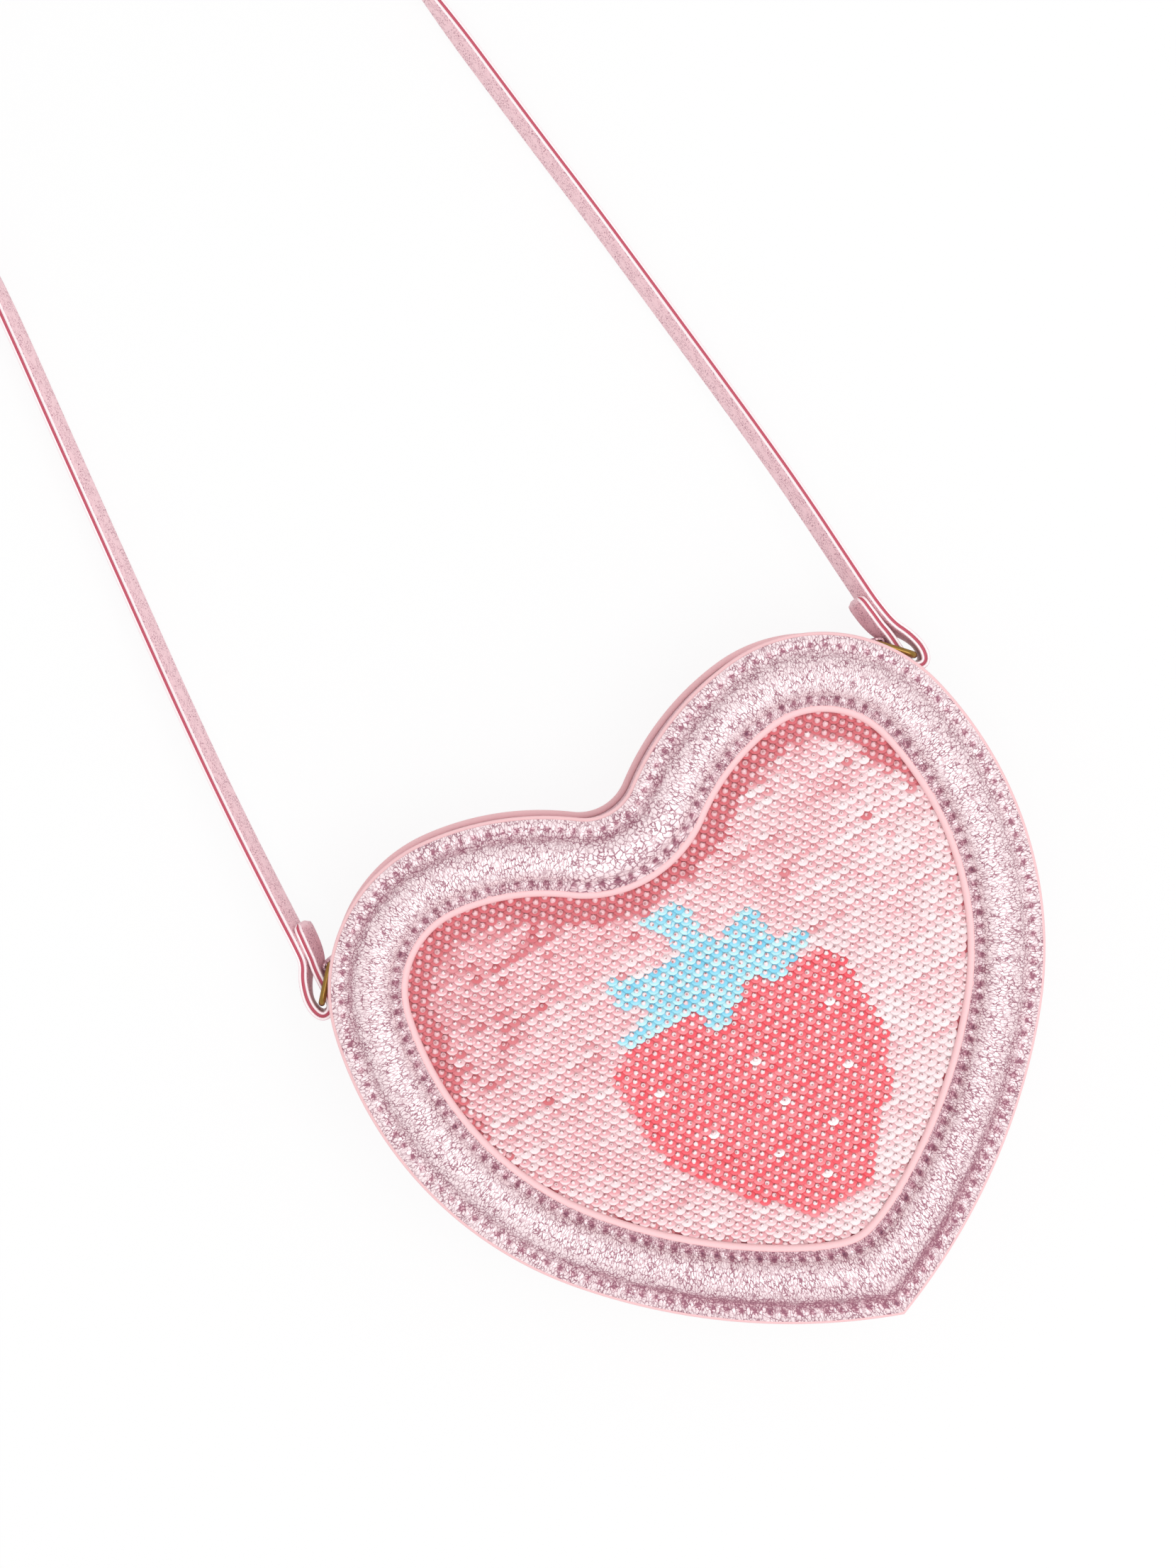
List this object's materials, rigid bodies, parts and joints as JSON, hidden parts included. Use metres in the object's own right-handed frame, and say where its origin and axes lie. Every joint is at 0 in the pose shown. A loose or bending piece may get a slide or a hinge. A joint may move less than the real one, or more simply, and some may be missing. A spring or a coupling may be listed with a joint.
{
  "type": "heart shaped purse",
  "caption": "Heart shaped purse with a padded border round a sequin window, a zip in its gusset and a narrow strap on rings.",
  "frame": {"origin": "middle of the heart, on the flat back face that it lies on", "axes": "+X to the right of the front, +Y to the lobes and strap, +Z out of the front"},
  "size_m": [0.2183, 0.3906, 0.0432],
  "materials": {
    "metallic_leather": "crackled metallic pink foil",
    "matte_trim": "matte pink",
    "sequin_cloth": "round pink, red and blue sequins sewn to cloth",
    "foam": "soft white foam",
    "stiff_board": "plain board",
    "lining_cloth": "plain woven pink",
    "zip_cloth": "woven pink tape",
    "zip_teeth": "moulded pink",
    "gold_metal": "polished pale gold",
    "strap_leather": "metallic pink foil with a red core",
    "tie_paper": "white band"
  },
  "bodies": {
    "purse": {"front_border": "metallic_leather", "back_panel": "metallic_leather", "gusset": "metallic_leather", "left_tab": "metallic_leather", "right_tab": "metallic_leather", "front_welt": "matte_trim", "back_welt": "matte_trim", "window_piping": "matte_trim", "sequin_panel": "sequin_cloth", "border_foam": "foam", "front_board": "stiff_board", "back_board": "stiff_board", "front_lining": "lining_cloth", "back_lining": "lining_cloth", "gusset_lining": "lining_cloth", "zip_tape_front": "zip_cloth", "zip_tape_back": "zip_cloth", "zip_teeth_front": "zip_teeth", "zip_teeth_back": "zip_teeth", "zip_stops": "gold_metal", "left_strap_loop": "strap_leather", "right_strap_loop": "strap_leather", "strap_left_run": "strap_leather", "strap_right_run": "strap_leather", "strap_roll": "strap_leather", "strap_tie": "tie_paper"},
    "zip_slider": {"zip_slider": "gold_metal"},
    "zip_pull": {"zip_pull": "gold_metal"},
    "left_ring": {"left_ring": "gold_metal"},
    "right_ring": {"right_ring": "gold_metal"}
  },
  "joints": [
    {"name": "zip_slide", "type": "hinge", "parent": "purse", "child": "zip_slider", "pos_m": [-0.00637, 0.02679, 0.019], "axis": [0, 0, -1], "range_deg": [0, 25.7], "deforming": ["zip_teeth_front", "zip_teeth_back"]},
    {"name": "pull_swing", "type": "hinge", "parent": "zip_slider", "child": "zip_pull", "pos_m": [0.08462, 0.01717, 0.019], "axis": [0, 0, 1], "range_deg": [0, 85]},
    {"name": "left_ring_swing", "type": "hinge", "parent": "purse", "child": "left_ring", "pos_m": [-0.07615, 0.0628, 0.019], "axis": [0, 0, -1], "range_deg": [-2, 35], "deforming": ["left_strap_loop"]},
    {"name": "right_ring_swing", "type": "hinge", "parent": "purse", "child": "right_ring", "pos_m": [0.07615, 0.0628, 0.019], "axis": [0, 0, 1], "range_deg": [-2, 35], "deforming": ["right_strap_loop"]}
  ]
}
